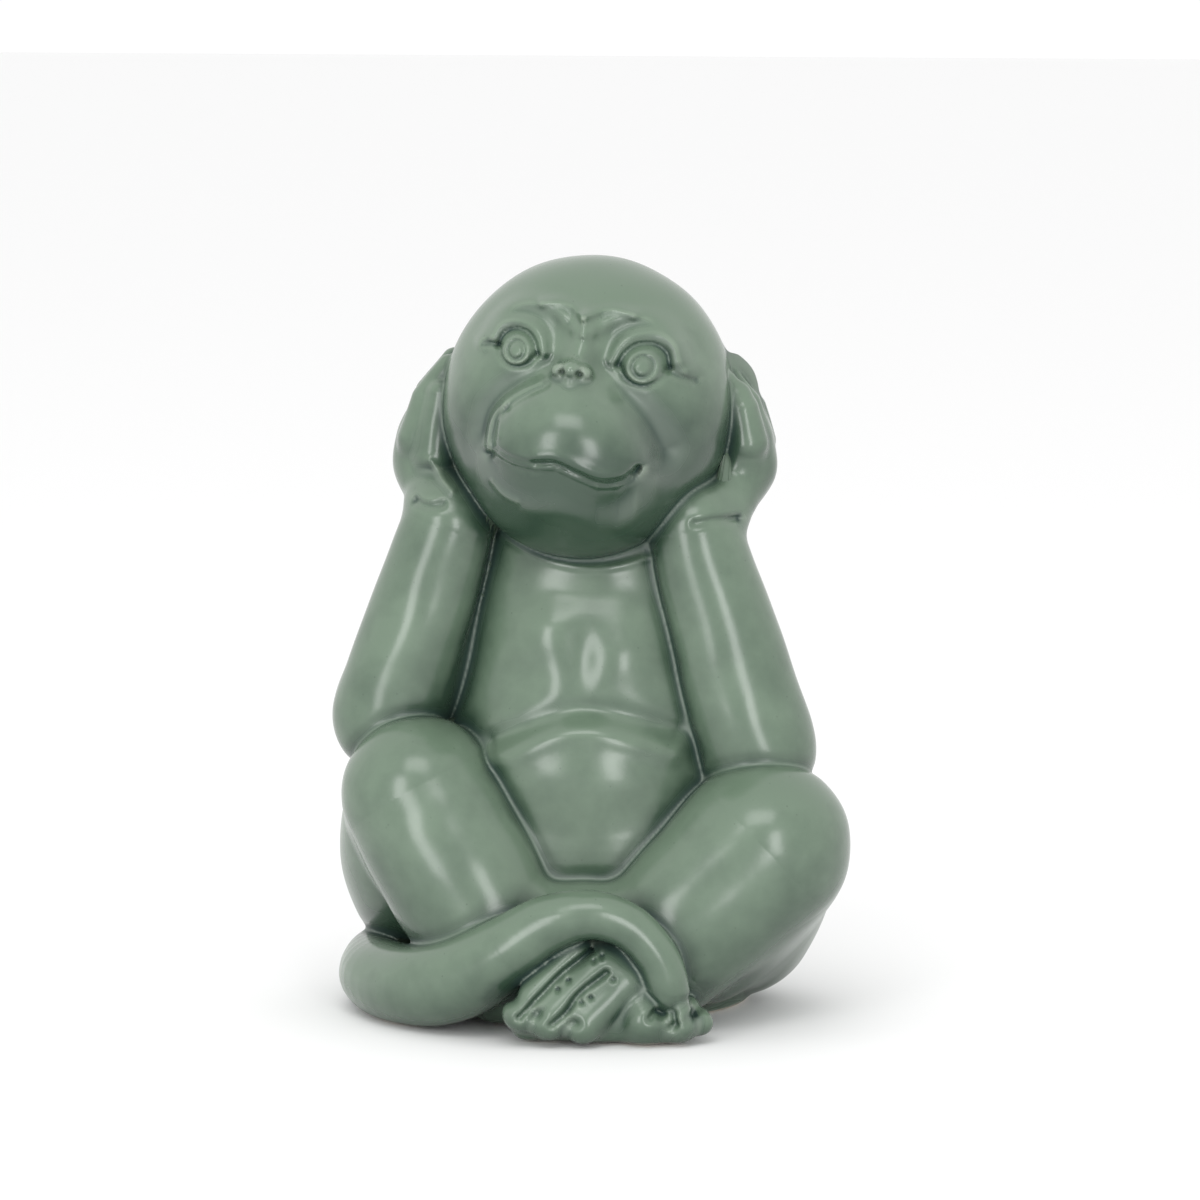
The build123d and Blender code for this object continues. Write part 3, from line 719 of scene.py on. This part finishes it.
# %% The whole figure
# Two pieces that run into each other, and the reach of their blend
JOINED = [("right_arm", "right_hand", 5.0), ("left_arm", "left_hand", 5.0),
          ("right_leg", "left_leg", 1.0)]
SEAM = 3.0
SEAM_CUT = 0.6
SEAM_CUT_WIDTH = 2.1
GROUND_EDGE = 1.6
THREADS = 4


def figure(P):
    """Distance to the whole figure, with a carved line along each seam that isn't smoothed."""
    table = piece_distances(P)
    for first, second, reach in JOINED:
        a, b = NAMES.index(first), NAMES.index(second)
        table[a] = smooth_min(table[a], table[b], reach)
        table[b] = MARGIN
    field, nearest, next_one = table[0], table[0], np.full(len(P), MARGIN, np.float32)
    for row in table[1:]:
        field = smooth_min(field, row, SEAM)
        next_one = np.minimum(next_one, np.maximum(nearest, row))
        nearest = np.minimum(nearest, row)
    field = field + SEAM_CUT * np.exp(-((next_one - nearest) / SEAM_CUT_WIDTH) ** 2)
    field = smooth_max(field - hand_made(P), -P[:, 2], GROUND_EDGE)
    low = np.nonzero(P[:, 2] < POCKET_TOP)[0]
    if len(low):
        field[low] = np.maximum(field[low], -disc_pocket(P[low]))
    return field


def figure_in_threads(P, size=120000):
    """The same, with the places shared out over the processor's cores."""
    blocks = [P[i:i + size] for i in range(0, len(P), size)]
    with ThreadPoolExecutor(THREADS) as pool:
        return np.concatenate(list(pool.map(figure, blocks)))


# %% [markdown]
# ## From the field to a mesh
# A voxel remesh could turn bodies into one skin, but it rounds fine carving. So the field itself
# is read on a lattice, only in the blocks near the skin. Where it changes sign, a surface net
# puts one vertex into each cell and one face across each crossed edge. Two Newton steps then
# pull each vertex onto the true skin, which makes a coarse lattice smooth.

# %% Lattice
STEP = 0.60
SPLIT = 6  # lattice steps in a block
LATTICE_MARGIN = 4.0
STEPS_BELOW_GROUND = 2.3
NEAR_BLOCKS = 1.35  # blocks from the skin, within which a block is read
FAR = 9.0  # stands for a block that isn't read
BLOCKS_AT_ONCE = 6000


def read_lattice():
    """The field on a dense lattice, worked out only near the skin."""
    low = np.array(cad_box[0]) / MM - LATTICE_MARGIN
    high = np.array(cad_box[1]) / MM + LATTICE_MARGIN
    low[2] = -STEPS_BELOW_GROUND * STEP
    coarse = STEP * SPLIT
    blocks = np.ceil((high - low) / coarse).astype(int)
    axes = [low[i] + coarse * (np.arange(blocks[i]) + 0.5) for i in range(3)]
    centres = np.stack(np.meshgrid(*axes, indexing="ij"), -1).reshape(-1, 3).astype(np.float32)
    rough = figure_in_threads(centres)
    near = (np.abs(rough) < coarse * NEAR_BLOCKS).reshape(blocks)
    grown = near.copy()
    for axis in range(3):
        grown |= np.roll(grown, 1, axis)
    lattice = np.where(rough < 0, -FAR, FAR).astype(np.float32).reshape(blocks)
    for axis in range(3):
        lattice = np.repeat(lattice, SPLIT, axis)
    cells = np.argwhere(grown)
    inner = np.stack(np.meshgrid(*[np.arange(SPLIT)] * 3, indexing="ij"), -1).reshape(-1, 3)
    for part in np.array_split(cells, max(1, len(cells) // BLOCKS_AT_ONCE)):
        index = (part[:, None, :] * SPLIT + inner[None]).reshape(-1, 3)
        places = (low + STEP * index).astype(np.float32)
        lattice[index[:, 0], index[:, 1], index[:, 2]] = figure_in_threads(places)
    return low, lattice


# %% Surface net
CORNERS = np.array([(i, j, k) for i in (0, 1) for j in (0, 1) for k in (0, 1)])
EDGES = [(a, b) for a in range(8) for b in range(a + 1, 8)
         if abs(CORNERS[a] - CORNERS[b]).sum() == 1]


def surface_net(low, lattice):
    """Vertices and quads of the zero surface."""
    inside = lattice < 0
    shape = np.array(lattice.shape) - 1
    count = np.zeros(shape, np.uint8)
    for i, j, k in CORNERS:
        count += inside[i:i + shape[0], j:j + shape[1], k:k + shape[2]]
    cells = np.argwhere((count > 0) & (count < 8))
    number = np.full(shape, -1, np.int32)
    number[cells[:, 0], cells[:, 1], cells[:, 2]] = np.arange(len(cells))
    values = np.stack([lattice[tuple((cells + c).T)] for c in CORNERS], 1)
    total = np.zeros((len(cells), 3))
    hits = np.zeros(len(cells))
    for a, b in EDGES:
        va, vb = values[:, a], values[:, b]
        cross = (va < 0) != (vb < 0)
        share = np.where(cross, va / np.where(cross, va - vb, 1.0), 0.0)
        place = CORNERS[a] + share[:, None] * (CORNERS[b] - CORNERS[a])
        total += place * cross[:, None]
        hits += cross
    vertices = low + STEP * (cells + total / hits[:, None])
    quads = []
    for axis in range(3):
        u, v = [(1, 2), (2, 0), (0, 1)][axis]
        here = inside[tuple(slice(0, -1) if a == axis else slice(1, -1) for a in range(3))]
        ahead = inside[tuple(slice(1, None) if a == axis else slice(1, -1) for a in range(3))]
        found = np.argwhere(here != ahead)
        outward = here[tuple(found.T)]
        found = found + np.array([0 if a == axis else 1 for a in range(3)])
        step_u, step_v = np.eye(3, dtype=int)[u], np.eye(3, dtype=int)[v]
        ring = [found - step_u - step_v, found - step_v, found, found - step_u]
        quad = np.stack([number[tuple(r.T)] for r in ring], 1)
        quad[~outward] = quad[~outward][:, ::-1]
        quads.append(quad)
    quads = np.vstack(quads)
    return vertices.astype(np.float32), quads[(quads >= 0).all(1)]


# %% Newton steps
LONGEST_MOVE = 0.6  # of a lattice step
LEAST_SLOPE = 0.25  # squared, so a flat spot of the field throws no vertex away
SMALLEST = 1e-6


def gradient(P, reach=0.12):
    """Outward direction of the field at each place."""
    slope = np.empty_like(P)
    for axis in range(3):
        shift = np.zeros(3, np.float32)
        shift[axis] = reach
        slope[:, axis] = figure_in_threads(P + shift) - figure_in_threads(P - shift)
    return slope / (2 * reach)


def settle(P, rounds=2):
    """Pulls vertices onto the skin and returns them with their normals."""
    for _ in range(rounds):
        slope = gradient(P)
        size = np.maximum((slope * slope).sum(1), LEAST_SLOPE)
        move = -(figure_in_threads(P) / size)[:, None] * slope
        P = P + np.clip(move, -STEP * LONGEST_MOVE, STEP * LONGEST_MOVE)
    slope = gradient(P)
    normals = slope / np.maximum(np.linalg.norm(slope, axis=1), SMALLEST)[:, None]
    P[:, 2] = np.maximum(P[:, 2], 0.0)
    return P, normals


low_corner, lattice = read_lattice()
print("lattice", lattice.shape)
vertices, quads = surface_net(low_corner, lattice)
del lattice
vertices, normals = settle(vertices)
print("skin:", len(vertices), "vertices,", len(quads), "quads")

# %% [markdown]
# ## Where the glaze runs, and where shade is painted
# Melted glaze flows off ridges and gathers in creases. Blender's own pointiness shows that too,
# but it changes with the density of the mesh. The field tells it at any width: a place a little
# outside the skin is nearer to the clay than it should be where the skin is hollow, and a place
# a little inside is nearer to the air where the skin is sharp. Those gaps, kept as attributes
# of each vertex, tell the material how thick the glaze lies in creases and on ridges. Taken over
# a wide reach, the same gap marks broad hollows, which get painted shade. A fourth attribute is
# painted shade too: it grows where a place faces down or lies low on the head, and darkens the
# head towards its chin.

# %% Glaze thickness and painted shade
def hollowness(reach):
    """0 on flat ground, towards 1 in a crease."""
    return 1.0 - figure_in_threads(vertices + normals * np.float32(reach)) / reach


def sharpness(reach):
    """0 on flat ground, towards 1 on a ridge."""
    return 1.0 + figure_in_threads(vertices - normals * np.float32(reach)) / reach


# Painted shade on the head: it darkens from this level downwards, over this height.
HEAD_SHADE = 1.15
HEAD_SHADE_TOP, HEAD_SHADE_HEIGHT = 174.0, 30.0
crease = np.clip(1.4 * hollowness(0.9) + 0.4 * hollowness(3.5), -0.2, 1.0)
ridge = np.clip(0.6 * sharpness(0.9) + 0.4 * sharpness(2.5), -0.2, 1.0)
# Painted shade: the gap over a wide reach darkens broad hollows.
broad_shade = np.clip(hollowness(7.5), -0.3, 1.0)
on_head = piece_distances(vertices).argmin(0) == NAMES.index("head")
low_on_head = ease((HEAD_SHADE_TOP - vertices[:, 2]) / HEAD_SHADE_HEIGHT)
# Painted shade: grows where a place faces down, and low on the head.
hang_shade = -normals[:, 2] + HEAD_SHADE * on_head * low_on_head
print("crease up to", round(float(crease.max()), 2), "ridge up to", round(float(ridge.max()), 2))

# %% [markdown]
# ## One piece for each casting
# The skin could stay in one, but each casting is a piece of its own. So the skin is shared out
# by the nearest piece. Each share gets a closing wall through its inside, to make it a body like
# the casting it stands for. On five of the pieces a few sides of that wall still stay open. Each
# share keeps the whole skin's normals, so no seam shows in the glaze.

# %% Split the skin into pieces
def nearest_piece(rounds=6):
    """Number of the piece that each vertex belongs to, with ragged borders evened out."""
    owner = piece_distances(vertices).argmin(0)
    sides = np.vstack([quads[:, [i, (i + 1) % 4]] for i in range(4)])
    for _ in range(rounds):
        votes = np.zeros((len(vertices), len(NAMES)), np.int16)
        np.add.at(votes, (sides[:, 0], owner[sides[:, 1]]), 2)
        votes[np.arange(len(vertices)), owner] += 1
        owner = votes.argmax(1)
    return owner


def majority(votes):
    """The most frequent of each face's four numbers."""
    winner = np.zeros(len(votes), int)
    best = np.zeros(len(votes), int)
    for column in range(4):
        same = (votes == votes[:, column:column + 1]).sum(1)
        better = same > best
        winner[better] = votes[better, column]
        best[better] = same[better]
    return winner


face_label = majority(nearest_piece()[quads])
print("faces of each piece:", np.bincount(face_label).tolist())


# %% Closing walls
def boundary_loops(faces):
    """Closed rings of vertices along the open border of some faces."""
    sides = np.vstack([faces[:, [i, (i + 1) % 4]] for i in range(4)])
    key = sides[:, 0].astype(np.int64) * (1 << 32) + sides[:, 1]
    back = sides[:, 1].astype(np.int64) * (1 << 32) + sides[:, 0]
    open_sides = sides[~np.isin(key, back)]
    after = {}
    for start, end in open_sides:
        after.setdefault(int(start), []).append(int(end))
    loops = []
    while after:
        start = next(iter(after))
        ring = [start]
        while True:
            here = ring[-1]
            nexts = after.get(here)
            if not nexts:
                break
            step = nexts.pop()
            if not nexts:
                del after[here]
            if step == start:
                break
            ring.append(step)
        loops.append(ring)
    return loops


CLOSING_DEPTH = 1.5
ABOVE_GROUND = 0.02


def closing_wall(rings, used_count, new):
    """Places, normals and faces that close each ring with a short collar and a lid."""
    places, directions, polygons = [], [], []
    for ring in rings:
        inner = vertices[ring] - normals[ring] * CLOSING_DEPTH
        inner[:, 2] = np.maximum(inner[:, 2], ABOVE_GROUND)
        number = used_count + len(places)
        places += [*inner, inner.mean(0)]
        directions += [*-normals[ring], (0, 0, 1)]
        apex = number + len(ring)
        for i, a in enumerate(ring):
            j = (i + 1) % len(ring)
            polygons.append([int(new[ring[j]]), int(new[a]), number + i, number + j])
            polygons.append([number + j, number + i, apex])
    return places, directions, polygons


# %% Meshes
# The first two attributes are glaze thickness; the last two are painted shade.
GLAZE_AND_SHADE = {"crease": crease, "ridge": ridge, "broad_shade": broad_shade, "hang_shade": hang_shade}


def make_piece(name, row):
    """One glazed casting as a mesh with its closing walls and its glaze attributes."""
    faces = quads[face_label == row]
    used = np.unique(faces)
    new = np.full(len(vertices), -1, np.int32)
    new[used] = np.arange(len(used))
    points = vertices[used]
    directions = normals[used]
    extra, extra_normals, walls = closing_wall(boundary_loops(faces), len(used), new)
    polygons = new[faces].tolist() + walls
    if extra:
        points = np.vstack([points, extra])
        directions = np.vstack([directions, extra_normals])
    mesh = bpy.data.meshes.new("glazed_" + name)
    mesh.from_pydata((points * MM).tolist(), [], polygons)
    mesh.validate()
    for attribute, values in GLAZE_AND_SHADE.items():
        data = mesh.attributes.new(attribute, "FLOAT", "POINT").data
        column = np.zeros(len(points), np.float32)
        column[:len(used)] = values[used]
        data.foreach_set("value", column)
    mesh.shade_smooth()
    mesh.normals_split_custom_set_from_vertices(directions.tolist())
    piece = bpy.data.objects.new("glazed_" + name, mesh)
    bpy.context.scene.collection.objects.link(piece)
    return piece


pieces = {name: make_piece(name, row) for row, name in enumerate(NAMES)}
for name, piece in pieces.items():
    print(name, len(piece.data.polygons), "faces")

# %% [markdown]
# ## Celadon glaze
# Celadon is a clear glaze with a little iron in it. It looks pale and warm where it is thin,
# sage green where it lies even and deep blue green where it pools. A layer of coloured glass
# over clay would be the physical way, but it is slow to render and hard to steer. So the colour
# itself is mixed by thickness, and a darker green is mixed in as painted shade in broad hollows,
# on down-facing parts and low on the head, along with random tone. The gloss comes from the
# glaze's own surface and varies little: creases are a bit duller, and only the wiped foot is matt.

# %% A socket in an expression
class Sock:
    """A socket that can be used in a Python expression."""

    def __init__(self, tree, socket):
        self.tree, self.socket = tree, socket

    def math(self, operation, other, clamp=False):
        node = self.tree.nodes.new("ShaderNodeMath")
        node.operation = operation
        node.use_clamp = clamp
        for slot, value in enumerate((self, other)):
            if isinstance(value, Sock):
                self.tree.links.new(value.socket, node.inputs[slot])
            else:
                node.inputs[slot].default_value = value
        return Sock(self.tree, node.outputs[0])

    def __add__(self, other):
        return self.math("ADD", other)

    __radd__ = __add__

    def __mul__(self, other):
        return self.math("MULTIPLY", other)

    __rmul__ = __mul__

    def __sub__(self, other):
        return self.math("SUBTRACT", other)

    def __rsub__(self, other):
        return (self * -1.0) + other

    def clamp(self):
        return self.math("ADD", 0.0, clamp=True)


# %% A material's tree
class Tree:
    """A material's node tree with one way to add any node."""

    def __init__(self, name):
        self.material = bpy.data.materials.new(name)
        self.material.use_nodes = True
        self.tree = self.material.node_tree
        self.tree.nodes.clear()

    def node(self, kind, settings=None, sockets=None, out=0):
        node = self.tree.nodes.new(kind)
        for key, value in (settings or {}).items():
            setattr(node, key, value)
        for key, value in (sockets or {}).items():
            target = node.inputs[key]
            if isinstance(value, Sock):
                self.tree.links.new(value.socket, target)
            else:
                target.default_value = value
        return Sock(self.tree, node.outputs[out])

    def mix(self, factor, first, second):
        node = self.tree.nodes.new("ShaderNodeMix")
        node.data_type = "RGBA"
        for key, value in ((0, factor), (6, first), (7, second)):
            if isinstance(value, Sock):
                self.tree.links.new(value.socket, node.inputs[key])
            else:
                node.inputs[key].default_value = value
        return Sock(self.tree, node.outputs[2])

    def place(self):
        """The place on the object, so a pattern stays with the piece."""
        return self.node("ShaderNodeTexCoord", out=3)

    def noise(self, place, scale, detail):
        return self.node("ShaderNodeTexNoise",
                         sockets={"Vector": place, "Scale": scale, "Detail": detail})

    def attribute(self, name):
        return self.node("ShaderNodeAttribute", {"attribute_name": name}, out=2)

    def finish(self, shader):
        out = self.tree.nodes.new("ShaderNodeOutputMaterial")
        self.tree.links.new(shader.socket, out.inputs["Surface"])
        return self.material


# %% Glaze material
THIN = (0.36, 0.42, 0.34, 1.0)
PALE = (0.118, 0.172, 0.120, 1.0)
# Darker green, used for painted shade and for random tone.
DARK_TONE_AND_SHADE = (0.030, 0.058, 0.037, 1.0)
POOL = (0.015, 0.038, 0.032, 1.0)
CLAY = (0.66, 0.61, 0.52, 1.0)
SPECK = (0.03, 0.045, 0.035, 1.0)
# Noise scales, in waves for each metre
CLOUD, DRIFT, FINE, SPECKS = 45.0, 130.0, 900.0, 260.0
FOOT_EDGE = 1600.0  # how fast the glaze ends above the ground, for each metre


def celadon():
    """Green glaze, coloured by how thick it lies and by painted shade, with a bare edge at the
    ground.
    """
    t = Tree("celadon_glaze")
    place = t.place()
    height = t.node("ShaderNodeSeparateXYZ", sockets={"Vector": place}, out=2)
    hollow = t.attribute("crease")
    sharp = t.attribute("ridge")
    hollow_shade = t.attribute("broad_shade")
    hang_shade = t.attribute("hang_shade")
    cloud = t.noise(place, CLOUD, 3.0)
    drift = t.noise(place, DRIFT, 4.0)
    fine = t.noise(place, FINE, 2.0)
    pooled = ((hollow * 1.1) - 0.12 + (cloud - 0.5) * 0.25).clamp()
    thinned = ((sharp * 1.4) - 0.12 + (cloud - 0.5) * 0.2).clamp()
    # Painted shade: down-facing parts, the low head and broad hollows turn darker, with random
    # tone from the noises.
    shade_and_tone = (hang_shade * 0.60 + hollow_shade * 0.8 + cloud * 1.0 + drift * 0.6 - 0.56).clamp()
    colour = t.mix(shade_and_tone, PALE, DARK_TONE_AND_SHADE)
    colour = t.mix(pooled * 0.9, colour, POOL)
    colour = t.mix(thinned * 0.42, colour, THIN)
    speck = (t.node("ShaderNodeTexVoronoi", {"feature": "F1"},
                    {"Vector": place, "Scale": SPECKS}) * -9.0 + 0.75).clamp()
    colour = t.mix(speck * (fine * 1.2), colour, SPECK)
    bare = ((height * -FOOT_EDGE) + (cloud * 1.4) + 0.6).clamp()
    colour = t.mix(bare, colour, CLAY)
    bump = t.node("ShaderNodeBump", sockets={"Height": cloud * 1.0 + fine * 0.05,
                                             "Strength": 0.10, "Distance": 0.002})
    roughness = (cloud * 0.10) + 0.18 + pooled * 0.30 + bare * 0.7
    shader = t.node("ShaderNodeBsdfPrincipled", sockets={
        "Base Color": colour, "Roughness": roughness, "IOR": 1.6, "Normal": bump})
    return t.finish(shader)


# %% [markdown]
# ## Bare clay
# The disc that closes the foot is wiped clean of glaze, so that it doesn't stick to the kiln
# shelf. It is pale, dry and stained by handling. A photograph of clay would show more, but two
# noises, one fine for the grain and one broad for the stains, are enough below a figure.

# %% Clay material
CLEAN_CLAY = (0.80, 0.76, 0.68, 1)
STAINED_CLAY = (0.62, 0.57, 0.48, 1)


def bare_clay():
    """Matt fired clay."""
    t = Tree("bare_clay")
    place = t.place()
    grain = t.noise(place, 700.0, 4.0)
    stain = t.noise(place, 60.0, 3.0)
    colour = t.mix((stain * 0.8 + grain * 0.3).clamp(), STAINED_CLAY, CLEAN_CLAY)
    bump = t.node("ShaderNodeBump", sockets={"Height": grain, "Strength": 0.4,
                                             "Distance": 0.0004})
    shader = t.node("ShaderNodeBsdfPrincipled", sockets={
        "Base Color": colour, "Roughness": 0.85, "Normal": bump})
    return t.finish(shader)


glaze = celadon()
clay = bare_clay()
print("glaze nodes:", len(glaze.node_tree.nodes), "clay nodes:", len(clay.node_tree.nodes))

# %% [markdown]
# ## Pieces in the frame
# Each glazed piece stands for the CAD casting of its name, which stays for collision. The base
# disc is right as it is and only gets its clay.

# %% Put the pieces into the frame
for name, piece in pieces.items():
    piece.data.materials.append(glaze)
    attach(piece, "root")
    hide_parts(name)

disc = bpy.data.objects["base_disc"]
disc.data.materials.clear()
disc.data.materials.append(clay)
print("glazed pieces:", len(pieces), "and", disc.name)

# %% [markdown]
# ## Floor and light
# The photograph looks as if taken in a white tent: light comes from everywhere, and soft boxes
# draw the highlights. The tent gives the pale rim all round the figure, the tall boxes at both
# sides give the long highlights on arms and shins, and the box above gives the one on the
# muzzle.

# %% Studio
FLOOR_HALF = 6.0
FLOOR_DROP = 0.0002  # keeps the floor clear of the figure's foot
PAPER = (0.93, 0.93, 0.93, 1.0)
TENT = 1.02
LIGHT_AIM = (0, 0, 0.1)


def make_floor():
    t = Tree("floor_paper")
    shader = t.node("ShaderNodeBsdfPrincipled", sockets={
        "Base Color": PAPER, "Roughness": 0.9})
    mesh = bpy.data.meshes.new("floor")
    corners = [(-1, -1), (1, -1), (1, 1), (-1, 1)]
    mesh.from_pydata([(x * FLOOR_HALF, y * FLOOR_HALF, 0) for x, y in corners],
                     [], [(0, 1, 2, 3)])
    floor = bpy.data.objects.new("floor", mesh)
    floor.location.z = -FLOOR_DROP
    mesh.materials.append(t.finish(shader))
    bpy.context.scene.collection.objects.link(floor)


def soft_box(name, place, width, height, power):
    """Soft light of a given size in metres and power in watts, aimed at the figure."""
    data = bpy.data.lights.new(name, "AREA")
    data.shape = "RECTANGLE"
    data.size, data.size_y = width, height
    data.energy = power
    light = bpy.data.objects.new(name, data)
    light.location = place
    light.rotation_euler = (Vector(LIGHT_AIM) - Vector(place)).to_track_quat("-Z", "Y").to_euler()
    bpy.context.scene.collection.objects.link(light)


def white_tent(strength):
    world = bpy.data.worlds.new("tent")
    world.use_nodes = True
    background = world.node_tree.nodes["Background"]
    background.inputs["Color"].default_value = (1.0, 1.0, 1.0, 1.0)
    background.inputs["Strength"].default_value = strength
    bpy.context.scene.world = world


bpy.context.scene.view_settings.view_transform = "Standard"
make_floor()
white_tent(TENT)
soft_box("left_box", (-0.62, -1.45, 0.40), 0.45, 0.90, 6.0)
soft_box("right_box", (0.68, -1.45, 0.35), 0.40, 0.70, 5.0)
soft_box("top_box", (0.0, -1.05, 1.25), 0.9, 0.6, 5.0)
